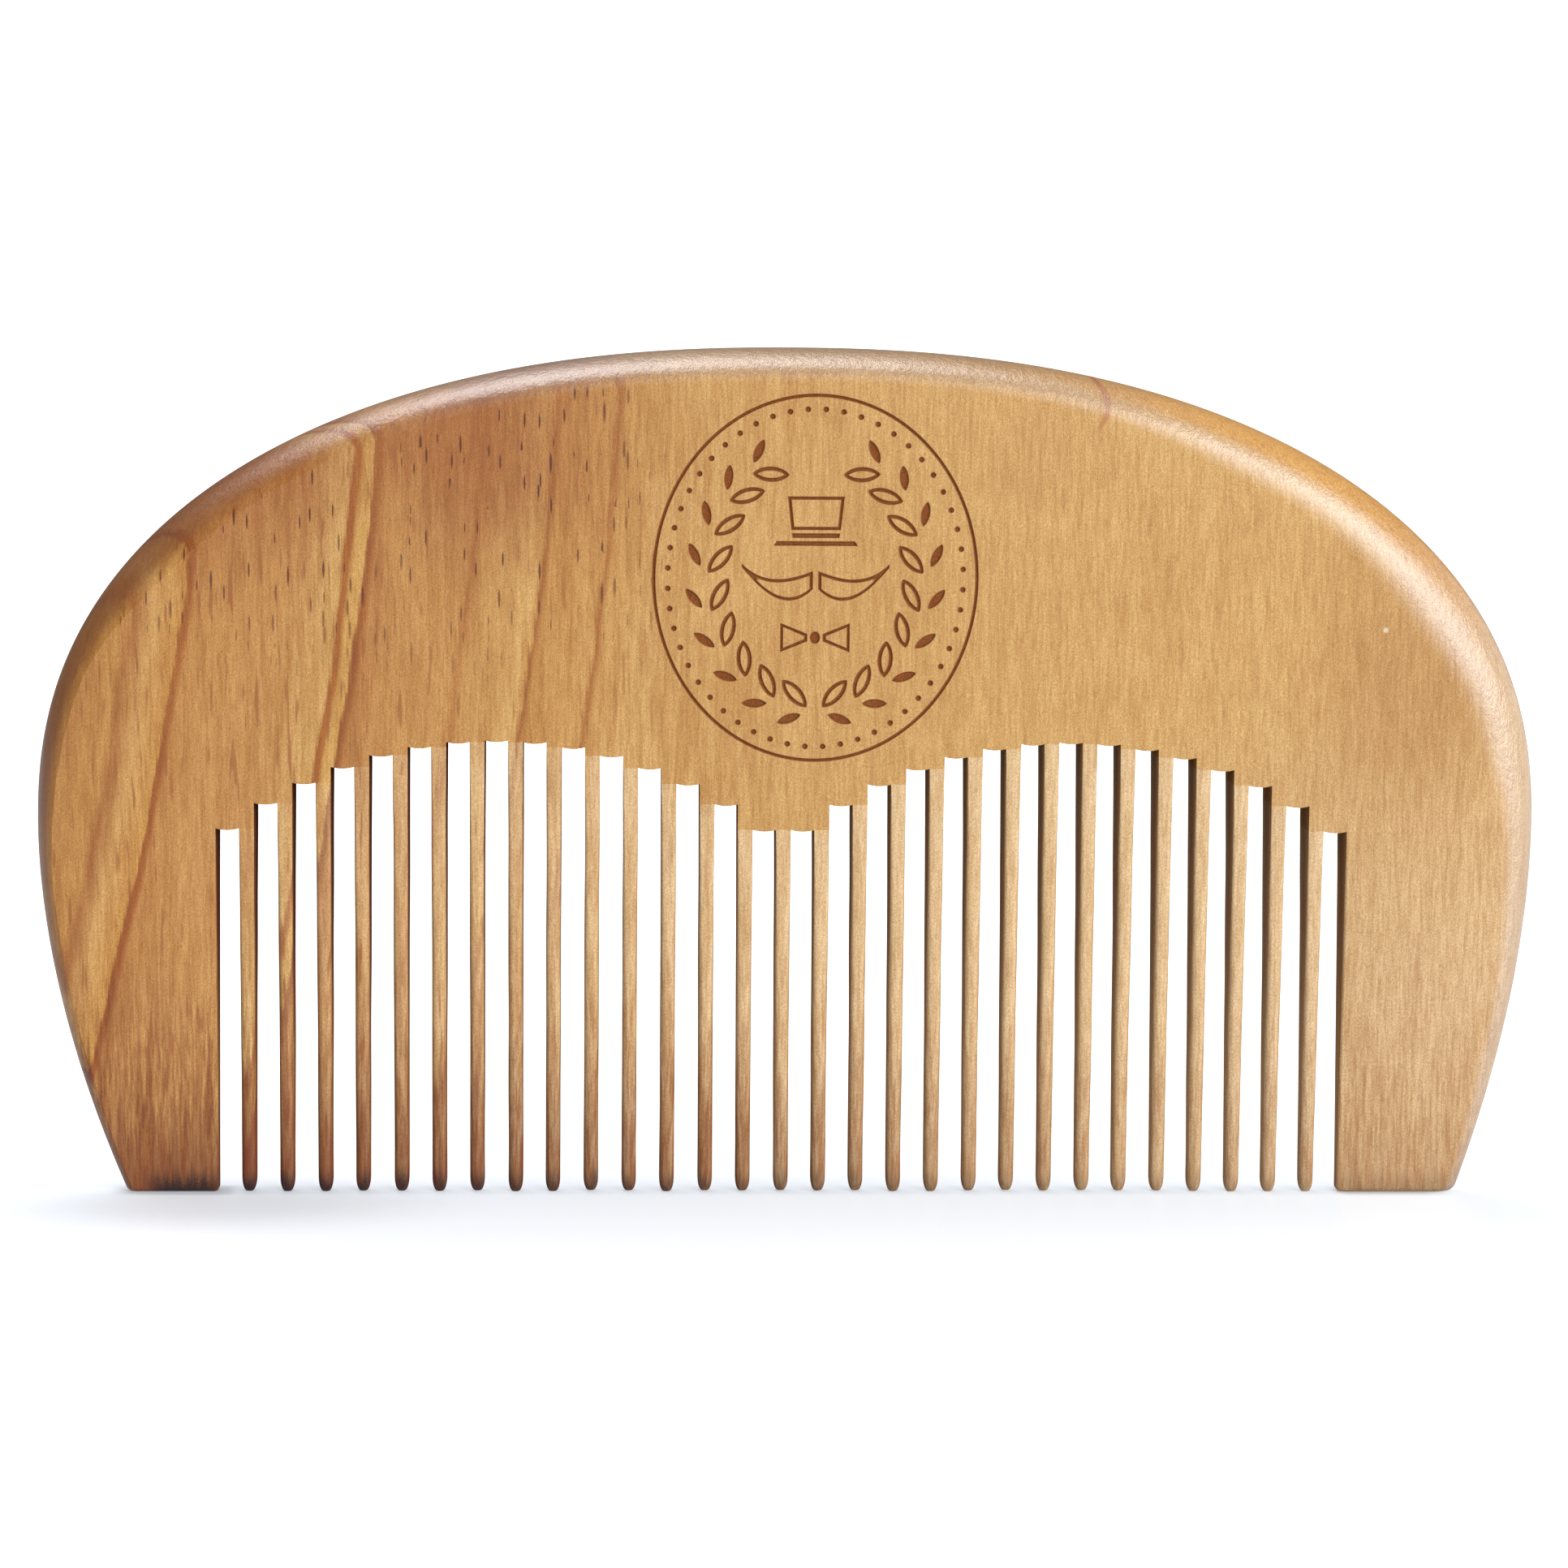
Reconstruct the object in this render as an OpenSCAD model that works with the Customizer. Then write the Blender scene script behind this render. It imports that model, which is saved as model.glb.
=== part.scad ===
// Half-moon beard comb, cut from one board of wood.
// X runs along the comb, Y through its thickness and Z from the tooth tips up to the crown.
// The front face looks towards -Y. The comb stands on its tooth tips and its two feet at Z = 0.
// The one board is drawn as regions that meet face to face: a back, two end guards and the teeth.

/* [Board] */
// Length across the widest part
comb_length = 105; // [98:1:112]
// Height from the tooth tips to the crown
comb_height = 59.5; // [57:0.5:64]
// Thickness of the board at the crown
crown_thickness = 8.5; // [7:0.1:10]
// Thickness of the board at the tooth tips
tip_thickness = 1.4; // [1.2:0.1:2.4]

/* [Outline] */
// Height of the widest part above the tooth tips
widest_height = 26.2; // [24:0.2:28]
// Exponent of the curve over the crown, where 2 is an ellipse
crown_power = 2.27; // [2:0.01:2.6]
// How far the outline comes in from the widest part to the left foot
left_foot_inset = 6.1; // [4:0.1:7.5]
// How far the outline comes in from the widest part to the right foot
right_foot_inset = 5; // [4:0.1:7.5]
// Exponent of the curve down to the feet, where 2 is a parabola
side_power = 1.85; // [1.7:0.05:2.2]

/* [Rounded edge] */
// Width of the rounding at the crown
crown_edge = 2.3; // [1:0.1:3.5]
// Width of the rounding at the left shoulder
left_edge = 2.2; // [1:0.1:4.5]
// Width of the rounding at the right shoulder
right_edge = 3.8; // [1:0.1:4.5]
// Width of the rounding from the widest part down to the feet
foot_edge = 0.9; // [0.4:0.1:1.6]
// Height of the shoulders above the tooth tips
shoulder_height = 41; // [36:1:46]
// Sweep of the rounding arc, where 90 would meet the face with no break
edge_sweep = 76; // [50:1:88]

/* [Slots and teeth] */
// Slots in each of the two lobes
lobe_slots = 15; // [9:2:15]
// Distance from one slot to the next
slot_pitch = 2.67; // [2.5:0.01:2.7]
// Width of a slot
slot_width = 1.62; // [1.2:0.02:1.8]
// Height of the closed ends of the slots in the middle of a lobe
lobe_height = 32.2; // [28:0.2:34]
// Radius of the arc through the closed ends of one lobe
lobe_radius = 31.1; // [28:0.1:60]
// Shift of all the slots along the comb
slots_shift = -0.45; // [-1:0.05:1]
// Length over which a tooth tip is rounded
tip_length = 1.5; // [0.6:0.1:2.5]

/* [Engraved oval] */
// Width of the engraved oval
oval_width = 22.6; // [14:0.2:26]
// Height of the engraved oval
oval_height = 25.6; // [14:0.2:27]
// Distance of the oval's centre from the middle of the comb
oval_x = 1.6; // [-4:0.1:4]
// Height of the oval's centre above the tooth tips
oval_z = 43.6; // [43:0.1:45]
// Width of the engraved line
line_width = 0.3; // [0.2:0.05:0.8]
// Depth of the engraved line
line_depth = 0.15; // [0.1:0.05:0.4]

/* [Hidden] */
half_length = comb_length / 2;
slot_count = 2 * lobe_slots;
tooth_count = slot_count - 1;
tooth_width = slot_pitch - slot_width;

// Slope of each face from the mid plane, as half thickness gained per unit of height
face_slope = (crown_thickness - tip_thickness) / (2 * comb_height);
face_angle = atan(face_slope);

// Rings along the outline, and facets across the rounded edge on each side of the mid plane
side_steps = 9;
crown_steps = 48;
edge_steps = 4;
ring_size = 2 * edge_steps + 1;
tip_steps = 8;
oval_steps = 72;

// Clear margin by which the cutting shapes stand past the board
margin = 5;

back_colour = "#c9a06c";
guard_colour = "#bd9260";
tooth_colour = "#a87f52";

// Name of tooth i, counted from the left
function tooth_name(i) = str("tooth_", i < 10 ? "0" : "", i);

// Half of the board's thickness at height z
function half_thickness(z) = tip_thickness / 2 + face_slope * z;

// Middle of slot k and of tooth i along X, both counted from the left
function slot_x(k) = slots_shift + (k - (slot_count + 1) / 2) * slot_pitch;
function tooth_x(i) = (slot_x(i) + slot_x(i + 1)) / 2;

// Height of the closed end of slot k, on the arc of its lobe
function lobe_place(k) = ((k - 1) % lobe_slots - (lobe_slots - 1) / 2) * slot_pitch;
function slot_end(k) = lobe_height - lobe_radius + sqrt(pow(lobe_radius, 2) - pow(lobe_place(k), 2));

// Height at which tooth i leaves the back, level with the lower of its two slots
function tooth_root(i) = min(slot_end(i), slot_end(i + 1));

// Distance of a side from the middle at height z below the widest part
function side_x(z, foot_inset) =
    half_length - foot_inset * pow((widest_height - z) / widest_height, side_power);

// The outline from the left foot, over the crown and down to the right foot
outline = concat(
    [for (s = [0 : side_steps - 1])
        let (z = widest_height * s / side_steps) [-side_x(z, left_foot_inset), z]],
    [for (s = [0 : crown_steps])
        let (turn = 180 * (1 - s / crown_steps), power = 2 / crown_power)
        [half_length * sign(cos(turn)) * pow(abs(cos(turn)), power),
         widest_height + (comb_height - widest_height) * pow(sin(turn), power)]],
    [for (s = [side_steps - 1 : -1 : 0])
        let (z = widest_height * s / side_steps) [side_x(z, right_foot_inset), z]]);
last_ring = len(outline) - 1;

// Direction into the board at outline point i, level at the two feet
function inward(i) =
    i == 0 ? [1, 0] : i == last_ring ? [-1, 0] :
    let (run = outline[i + 1] - outline[i - 1]) [run[1], -run[0]] / norm(run);

// Width of the rounded edge at an outline point
function edge_width(point) = lookup(point[1], [
    [widest_height, foot_edge],
    [shoulder_height, point[0] < 0 ? left_edge : right_edge],
    [comb_height, crown_edge]]);

// Point j of ring i, from the front face round the rim to the back face
function ring_point(i, j) =
    let (sweep = edge_sweep * (j / edge_steps - 1),
         inset = edge_width(outline[i]) * (1 - cos(sweep)) / (1 - cos(edge_sweep)),
         place = outline[i] + inset * inward(i))
    [place[0], half_thickness(place[1]) * sin(sweep) / sin(edge_sweep), place[1]];

// The board before the slots are cut, with wedge faces and a rounded edge
module blank() {
    points = [for (i = [0 : last_ring]) for (j = [0 : ring_size - 1]) ring_point(i, j)];
    rim = [for (i = [0 : last_ring - 1]) for (j = [0 : ring_size - 2])
        let (a = i * ring_size + j, b = a + ring_size)
        each [[a, b, a + 1], [b, b + 1, a + 1]]];
    front = [for (i = [last_ring : -1 : 0]) i * ring_size];
    rear = [for (i = [0 : last_ring]) (i + 1) * ring_size - 1];
    base = concat(
        [for (j = [0 : ring_size - 1]) j],
        [for (j = [ring_size - 1 : -1 : 0]) last_ring * ring_size + j]);
    polyhedron(points, concat(rim, [front, rear, base]));
}

// A flat shape in X and Z, carried right through the board
module through_board() {
    rotate([90, 0, 0]) linear_extrude(crown_thickness + 2 * margin, center = true) children();
}

// Everything below the back: the slots, and the teeth and guards level with their roots
module below_back() {
    left_root = slot_end(1);
    right_root = slot_end(slot_count);
    roots = [for (k = [1 : slot_count])
        let (left = slot_x(k) - slot_width / 2, right = slot_x(k) + slot_width / 2)
        each concat(
            k > 1 && tooth_root(k - 1) < slot_end(k) ? [[left, tooth_root(k - 1)]] : [],
            [[left, slot_end(k)], [right, slot_end(k)]],
            k < slot_count && tooth_root(k) < slot_end(k) ? [[right, tooth_root(k)]] : [])];
    through_board() polygon(concat(
        [[-half_length - margin, -margin], [-half_length - margin, left_root]],
        roots,
        [[half_length + margin, right_root], [half_length + margin, -margin]]));
}

// Outline of the engraved oval, larger or smaller by grow all round
module oval(grow) {
    polygon([for (s = [0 : oval_steps - 1])
        let (turn = 360 * s / oval_steps)
        [(oval_width / 2 + grow) * cos(turn), (oval_height / 2 + grow) * sin(turn)]]);
}

// The engraved oval line, sunk square to the sloping front face
module oval_line() {
    translate([oval_x, -half_thickness(oval_z), oval_z])
        rotate([90 + face_angle, 0, 0])
        translate([0, 0, -line_depth])
        linear_extrude(margin)
        difference() {
            oval(0);
            oval(-line_width);
        }
}

module back() {
    color(back_colour) difference() {
        blank();
        below_back();
        oval_line();
    }
}

// An end guard, outside the first or the last slot. side is -1 for the left and 1 for the right.
module guard(side) {
    k = side < 0 ? 1 : slot_count;
    inner = slot_x(k) + side * slot_width / 2;
    outer = side * (half_length + margin);
    root = slot_end(k);
    color(guard_colour) intersection() {
        blank();
        through_board() polygon([[inner, -margin], [outer, -margin], [outer, root], [inner, root]]);
    }
}

// Half an ellipse below z = height, which rounds the end of a tooth
function round_tip(half_width, height) = [for (s = [0 : tip_steps])
    let (turn = 180 + 180 * s / tip_steps) [half_width * cos(turn), height * (1 + sin(turn))]];

module tooth(i) {
    root = tooth_root(i);
    tip_half = half_thickness(tip_length);
    root_half = half_thickness(root);
    color(tooth_colour) translate([tooth_x(i), 0, 0]) intersection() {
        through_board() polygon(concat(
            round_tip(tooth_width / 2, tip_length),
            [[tooth_width / 2, root], [-tooth_width / 2, root]]));
        rotate([90, 0, 90]) linear_extrude(tooth_width + margin, center = true) polygon(concat(
            round_tip(tip_half, tip_length),
            [[root_half, root], [-root_half, root]]));
    }
}

back();
guard(-1);  // guard_left
guard(1);  // guard_right
for (i = [1 : tooth_count]) tooth(i);
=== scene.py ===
"""The looks of a wooden half-moon beard comb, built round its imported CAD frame.

X runs along the comb, Y through its thickness with the engraved face towards -Y, and Z from the tooth tips
up to the crown. The frame is in metres. Sizes below are in millimetres, and MM turns them into metres.
"""
import math
import random

import bpy
from mathutils import Matrix, Vector, noise
from mathutils.geometry import delaunay_2d_cdt


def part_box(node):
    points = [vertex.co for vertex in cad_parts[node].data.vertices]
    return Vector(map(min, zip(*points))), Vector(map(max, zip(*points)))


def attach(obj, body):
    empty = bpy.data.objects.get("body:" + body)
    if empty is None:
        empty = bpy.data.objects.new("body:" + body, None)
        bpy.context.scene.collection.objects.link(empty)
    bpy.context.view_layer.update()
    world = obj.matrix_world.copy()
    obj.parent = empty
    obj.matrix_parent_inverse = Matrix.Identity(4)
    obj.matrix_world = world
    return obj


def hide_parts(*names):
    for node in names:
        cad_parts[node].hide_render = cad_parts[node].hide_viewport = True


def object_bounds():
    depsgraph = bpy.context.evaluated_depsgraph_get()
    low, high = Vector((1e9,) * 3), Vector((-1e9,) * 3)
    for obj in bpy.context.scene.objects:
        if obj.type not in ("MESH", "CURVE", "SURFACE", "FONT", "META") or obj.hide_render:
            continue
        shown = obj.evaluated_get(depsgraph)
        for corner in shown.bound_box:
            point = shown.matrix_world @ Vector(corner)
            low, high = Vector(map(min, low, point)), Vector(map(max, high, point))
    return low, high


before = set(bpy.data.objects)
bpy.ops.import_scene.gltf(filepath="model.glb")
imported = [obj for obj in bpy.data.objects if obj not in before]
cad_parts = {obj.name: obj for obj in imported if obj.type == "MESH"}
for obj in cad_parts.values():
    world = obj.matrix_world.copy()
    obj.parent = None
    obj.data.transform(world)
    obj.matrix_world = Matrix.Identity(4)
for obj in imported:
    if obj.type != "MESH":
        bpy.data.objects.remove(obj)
cad_low, cad_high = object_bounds()

MM = 0.001
SEED = 7

# The board's driving sizes, as the CAD has them
HALF_LENGTH = cad_high.x / MM
HEIGHT = cad_high.z / MM
CROWN_THICKNESS = 8.5
TIP_THICKNESS = 1.4
WIDEST_HEIGHT = 26.2
CROWN_POWER = 2.27
FOOT_INSET = {-1: 6.1, 1: 5.0}
SIDE_POWER = 1.85
FACE_SLOPE = (CROWN_THICKNESS - TIP_THICKNESS) / (2 * HEIGHT)

# Width of the hand-sanded edge at heights up each side, and how far round its arc runs, in degrees
EDGE_WIDTH = {
    -1: ((0.0, 0.5), (8.0, 0.8), (20.0, 1.0), (36.0, 1.7), (46.0, 2.7), (HEIGHT, 2.3)),
    1: ((0.0, 0.9), (12.0, 1.6), (24.0, 2.4), (34.0, 3.9), (43.0, 4.8), (53.0, 3.8), (HEIGHT, 2.3)),
}
EDGE_SWEEP = {
    -1: ((0.0, 58.0), (40.0, 58.0), (52.0, 68.0), (57.0, 86.0), (HEIGHT, 88.0)),
    1: ((0.0, 72.0), (24.0, 80.0), (36.0, 87.0), (HEIGHT, 88.0)),
}
# Steps up each side, over the crown and round half of the edge, and the share of the edge that fades in
SIDE_STEPS = 10
CROWN_STEPS = 260
EDGE_STEPS = 14
EDGE_FADE = 0.3

# Slots: their closed ends follow two round lobes, and each end bows down a little
LOBE_SLOTS = 15
LOBE_HEIGHT = 32.2
LOBE_RADIUS = 31.1
SLOT_SAG = 0.12
SLOT_END_STEPS = 6

# A tooth: corner radius by the distance below its root, and the most of a half side it may take
TOOTH_ROUNDING = ((0.0, 0.02), (2.0, 0.12), (7.0, 0.25), (14.0, 0.4), (40.0, 0.45))
ROUNDEST = 0.98
TOOTH_STEPS = 22

# A tooth's tip: length, exponent of its curve, flat share of its width, most it stops short of the floor,
# and the least share of thickness and of corner radius, for a tip drawn down to a point
TIP_LENGTH = 1.3
TIP_POWER = 2.8
TIP_FLAT = 0.48
TIP_SHORTFALL = 0.12
TIP_DEPTH = 0.25
TIP_CORNER = 0.6
TIP_STEPS = 8

# How a tooth strays, sideways and in width and thickness, growing over STRAY_LENGTH below its root
TOOTH_WANDER = 0.03
TOOTH_THINNING = 0.02
STRAY_LENGTH = 5.0
WANDER_RATE = 0.14
SWELL_RATE = 0.2

# Steps round a corner, and the angles past which a fold is drawn sharp
CORNER_STEPS = 5
CREASE_ANGLE = 22.0
TOOTH_CREASE_ANGLE = 40.0

# How much shade is painted on a cut wall by the way it faces, and how far round a corner the painted shade
# starts
SHADE_RIGHTWARD = 1.0
SHADE_LEFTWARD = 0.45
SHADE_START = {1: 0.75, -1: 0.3}
SHADE_FULL = 0.99

# Feet: radius of the bottom edges, and of the outer bottom corner on each side
FOOT_RADIUS = 0.35
FOOT_CORNER = {-1: 0.3, 1: 0.55}
FOOT_CORNER_CLEAR = 0.3
FOOT_TURN_STEP = 9
GUARD_STEPS = 30

# Radius of a guard's edge along its slot: at the root, its growth for each millimetre below, and its most
ARRIS_ROOT = 0.02
ARRIS_GROWTH = 0.05
ARRIS_MOST = 0.2

# Engraved emblem on the front face: the oval, the burnt lines, the dots and the wreath with its leaves
OVAL_X = 1.6
OVAL_Z = 43.6
OVAL_HALF_WIDTH = 11.3
OVAL_HALF_HEIGHT = 12.8
LINE_WIDTH = 0.2
LINE_DEPTH = 0.12
SCORCH = 0.05
LINE_RIM_BURN = 0.8
OVAL_STEPS = 160
DOTS = 52
DOT_INSET = 1.05
DOT_RADIUS = 0.19
DOT_STEPS = 10
WREATH_ACROSS = 7.6
WREATH_UP = 9.1
WREATH_LEAVES = 9
WREATH_START = -78
WREATH_SWEEP = 140
LEAF_OFFSET = 0.9
LEAF_LEAN = 34
INNER_LEAF = (1.25, 0.52)
OUTER_LEAF = (0.85, 0.3)

# Inside the wreath, from the oval's centre: slabs as rise, half width at the bottom and top, and height
HAT_BRIM = (2.3, 2.9, 2.7, 0.3)
HAT_BAND = (2.85, 1.6, 1.66, 0.3)
HAT_CROWN = (3.4, 1.7, 1.95, 2.3)
MOUSTACHE_RISE = -0.2
TIE_WING = ((0.55, -3.85), (2.4, -3.1), (2.4, -5.1), (0.55, -4.35))
TIE_RISE = -4.1
TIE_KNOT_HALF_WIDTH = 0.34
TIE_KNOT_HALF_HEIGHT = 0.42

# A leaf's outline: the power that points its ends, and its growth there, along and across
LEAF_POWER = 1.5
LEAF_STRETCH = 1.5
LEAF_SPREAD = 0.25

# Half a moustache: span, start, thinnest half width and the one it stops at, terms and power of its shape
MOUSTACHE_SPAN = 4.9
MOUSTACHE_START = 0.2
MOUSTACHE_THINNEST = 0.12
MOUSTACHE_STOP = 0.06
MOUSTACHE_LINE = (0.1, -3.4, 4.4)
MOUSTACHE_SWELL = (0.5, 2.2)
MOUSTACHE_TAPER = 1.6

# How far a sharp corner may run out as an outline grows, and how the faces are cut into triangles
MITRE_LIMIT = 1.4
KEEP_INSIDE = 1
MERGE_WITHIN = 1e-5

TEETH = sorted(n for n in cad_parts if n.startswith("tooth_"))


# ---------------------------------------------------------------- the board's shape

def half_thickness(z):
    """Half of the board's thickness at height z."""
    return TIP_THICKNESS / 2 + FACE_SLOPE * z


def smooth_lookup(z, table):
    """The value at z in a table of (z, value) pairs, eased between them."""
    for (z0, a), (z1, b) in zip(table, table[1:]):
        if z <= z1:
            t = min(max((z - z0) / (z1 - z0), 0.0), 1.0)
            return a + (b - a) * t * t * (3 - 2 * t)
    return table[-1][1]


def side_x(z, side):
    """Where the outline is at height z on a side, below the widest part."""
    share = max(WIDEST_HEIGHT - z, 0.0) / WIDEST_HEIGHT
    return side * (HALF_LENGTH - FOOT_INSET[side] * share ** SIDE_POWER)


def crown_point(turn):
    """A point of the crown's outline, with turn going from 180 degrees at the left to 0 at the right."""
    c = math.cos(turn)
    power = 2 / CROWN_POWER
    x = HALF_LENGTH * math.copysign(abs(c) ** power, c)
    return x, WIDEST_HEIGHT + (HEIGHT - WIDEST_HEIGHT) * abs(math.sin(turn)) ** power


def edge_ring(x, z, inward):
    """The points round the sanded edge at one outline point, from the front face to the rear face."""
    side = -1 if x < 0 else 1
    sweep = math.radians(smooth_lookup(z, EDGE_SWEEP[side]))
    width = smooth_lookup(z, EDGE_WIDTH[side])
    ring = []
    for j in range(2 * EDGE_STEPS + 1):
        a = sweep * (j / EDGE_STEPS - 1)
        inset = width * (1 - math.cos(a)) / (1 - math.cos(sweep))
        px = x + inward[0] * inset
        pz = z + inward[1] * inset
        ring.append((px, half_thickness(pz) * math.sin(a) / math.sin(sweep), pz))
    return ring


def edge_share(j):
    """How far into the sanded edge point j of a ring is: 0 where it meets a face, 1 well inside."""
    t = min((1 - abs(j / EDGE_STEPS - 1)) / EDGE_FADE, 1.0)
    return t * t * (3 - 2 * t)


def back_outline(left_root, right_root):
    """The outline from the left root plane, over the crown and down to the right root plane."""
    points = []
    for s in range(SIDE_STEPS):
        z = left_root + (WIDEST_HEIGHT - left_root) * s / SIDE_STEPS
        points.append((side_x(z, -1), z))
    points += [crown_point(math.pi * (1 - s / CROWN_STEPS)) for s in range(CROWN_STEPS + 1)]
    for s in range(SIDE_STEPS - 1, -1, -1):
        z = right_root + (WIDEST_HEIGHT - right_root) * s / SIDE_STEPS
        points.append((side_x(z, 1), z))
    return points


def inward_at(points, i):
    """The direction into the board at outline point i, level at both ends."""
    if i == 0:
        return (1.0, 0.0)
    if i == len(points) - 1:
        return (-1.0, 0.0)
    dx = points[i + 1][0] - points[i - 1][0]
    dz = points[i + 1][1] - points[i - 1][1]
    length = math.hypot(dx, dz)
    return (dz / length, -dx / length)


# ---------------------------------------------------------------- slots, read from the CAD

def node_box(name):
    """The lowest and highest corner of a CAD node, in millimetres."""
    low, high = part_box(name)
    return low / MM, high / MM


def slots():
    """Left edge, right edge and height of the closed end of every slot, from the left."""
    walls = [node_box("guard_left")[1].x]
    for name in TEETH:
        low, high = node_box(name)
        walls += [low.x, high.x]
    walls.append(node_box("guard_right")[0].x)
    pitch = walls[2] - walls[0]
    found = []
    for k, (left, right) in enumerate(zip(walls[0::2], walls[1::2])):
        place = (k % LOBE_SLOTS - (LOBE_SLOTS - 1) / 2) * pitch
        found.append((left, right, LOBE_HEIGHT - LOBE_RADIUS + math.sqrt(LOBE_RADIUS ** 2 - place ** 2)))
    return found


# ---------------------------------------------------------------- making meshes

def mesh_piece(name, points, faces, smooth=(), cut=None, burn=None, edge=None, sharp_angle=None):
    """A mesh object from points in millimetres. smooth lists the faces that are shaded smooth.

    Its per-face slot shade is how much shade is painted on each slot wall or slot end. burn and edge are
    how burnt and how worn each point is.
    """
    mesh = bpy.data.meshes.new(name)
    mesh.from_pydata([Vector(p) * MM for p in points], [], faces)
    smooth = set(smooth)
    mesh.polygons.foreach_set("use_smooth", [i in smooth for i in range(len(faces))])
    for label, domain, values in (("cut", "FACE", cut), ("burn", "POINT", burn), ("edge", "POINT", edge)):
        if values is not None:
            layer = mesh.attributes.new(label, "FLOAT", domain)
            layer.data.foreach_set("value", values)
    mesh.update()
    if sharp_angle is not None:
        mesh.set_sharp_from_angle(angle=math.radians(sharp_angle))
    piece = bpy.data.objects.new(name, mesh)
    bpy.context.scene.collection.objects.link(piece)
    return piece


def loft(rings):
    """Quads between closed rings of the same size, with flat caps."""
    size = len(rings[0])
    points = [p for ring in rings for p in ring]
    faces = []
    for i in range(len(rings) - 1):
        for j in range(size):
            a = i * size + j
            b = i * size + (j + 1) % size
            faces.append((a, b, b + size, a + size))
    faces.append(tuple(range(size - 1, -1, -1)))
    first = (len(rings) - 1) * size
    faces.append(tuple(range(first, first + size)))
    return points, faces


# ---------------------------------------------------------------- the engraved emblem

class Engraving:
    """Closed loops on the front face, each with a depth and a burn, that the face is cut along."""

    def __init__(self):
        self.loops = []

    def loop(self, points, depth, burn):
        """One closed loop of (x, z) points, all at the same depth and burn."""
        self.loops.append([(x, z, depth, burn) for x, z in points])

    def filled(self, shape):
        """A burnt-out area. shape(grow) gives its outline, larger by grow."""
        self.loop(shape(SCORCH), 0.0, 0.0)
        self.loop(shape(0.0), 0.0, LINE_RIM_BURN)
        self.loop(shape(-SCORCH), LINE_DEPTH, 1.0)

    def line(self, shape):
        """A burnt line of LINE_WIDTH just inside shape(0)."""
        self.filled(shape)
        self.loop(shape(SCORCH - LINE_WIDTH), LINE_DEPTH, 1.0)
        self.loop(shape(-LINE_WIDTH), 0.0, LINE_RIM_BURN)
        self.loop(shape(-LINE_WIDTH - SCORCH), 0.0, 0.0)


def ellipse(x, z, half_width, half_height, steps):
    """An ellipse round (x, z)."""
    def shape(grow):
        across, up = half_width + grow, half_height + grow
        turns = [2 * math.pi * s / steps for s in range(steps)]
        return [(x + across * math.cos(t), z + up * math.sin(t)) for t in turns]
    return shape


def leaf(x, z, angle, half_length, half_width, steps=20):
    """A pointed leaf whose outline is two arcs with slightly rounded ends."""
    def shape(grow):
        points = []
        for s in range(steps):
            t = 2 * math.pi * s / steps
            along = (half_length + LEAF_STRETCH * grow) * math.cos(t)
            bulge = math.copysign(abs(math.sin(t)) ** LEAF_POWER, math.sin(t))
            across = (half_width + grow) * bulge + LEAF_SPREAD * grow * math.sin(t)
            points.append((x + along * math.cos(angle) - across * math.sin(angle),
                           z + along * math.sin(angle) + across * math.cos(angle)))
        return points
    return shape


def outline(points):
    """The shape of any corner-to-corner outline, which grows by moving each corner outwards."""
    area = sum(x0 * z1 - x1 * z0 for (x0, z0), (x1, z1) in zip(points, points[1:] + points[:1]))
    turn = math.copysign(1, area)

    def shape(grow):
        moved = []
        for (ax, az), (x, z), (bx, bz) in zip(points[-1:] + points[:-1], points, points[1:] + points[:1]):
            before = Vector((z - az, ax - x)).normalized() * turn
            after = Vector((bz - z, x - bx)).normalized() * turn
            both = before + after
            step = both * (grow * min(2 / max(both.length_squared, 0.01), MITRE_LIMIT))
            moved.append((x + step.x, z + step.y))
        return moved
    return shape


def moustache_half(x, z, side, steps=28):
    """One half of a handlebar moustache: full by the middle, and drawn up to a blunt tip.

    The middle line dips and rises as a parabola, and the half width swells before it tapers.
    """
    start, fall, lift = MOUSTACHE_LINE
    full, swell = MOUSTACHE_SWELL

    def shape(grow):
        over, under = [], []
        for s in range(steps + 1):
            t = (s / steps * (MOUSTACHE_SPAN + 2 * grow) - grow) / MOUSTACHE_SPAN
            middle = start + fall * t + lift * t * t
            half = MOUSTACHE_THINNEST + (full + swell * t) * max(1 - t, 0.0) ** MOUSTACHE_TAPER + grow
            if s > steps / 2 and half < MOUSTACHE_STOP:
                break
            across = x + side * (MOUSTACHE_START + MOUSTACHE_SPAN * t)
            over.append((across, z + middle + half))
            under.append((across, z + middle - half))
        return over + under[::-1]
    return shape


def slab(rise, half_bottom, half_top, height):
    """A four-sided outline on the oval's upright axis that stands at rise above its centre."""
    bottom = OVAL_Z + rise
    top = bottom + height
    return outline([(OVAL_X - half_bottom, bottom), (OVAL_X + half_bottom, bottom),
                    (OVAL_X + half_top, top), (OVAL_X - half_top, top)])


def wreath(art, x, z, across, up, leaves):
    """Two sprays of leaves that climb each side from the bottom, outlined inside and solid outside."""
    for side in (-1, 1):
        for k in range(leaves):
            t = math.radians(WREATH_START + WREATH_SWEEP * k / (leaves - 1))
            run = math.atan2(up * math.cos(t), -side * across * math.sin(t))
            for fan in (-1, 1):
                lean = run - side * fan * math.radians(LEAF_LEAN)
                leaf_x = x + side * (across + LEAF_OFFSET * fan) * math.cos(t)
                leaf_z = z + (up + LEAF_OFFSET * fan) * math.sin(t)
                if fan < 0:
                    art.line(leaf(leaf_x, leaf_z, lean, *INNER_LEAF))
                else:
                    art.filled(leaf(leaf_x, leaf_z, lean, *OUTER_LEAF))


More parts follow.
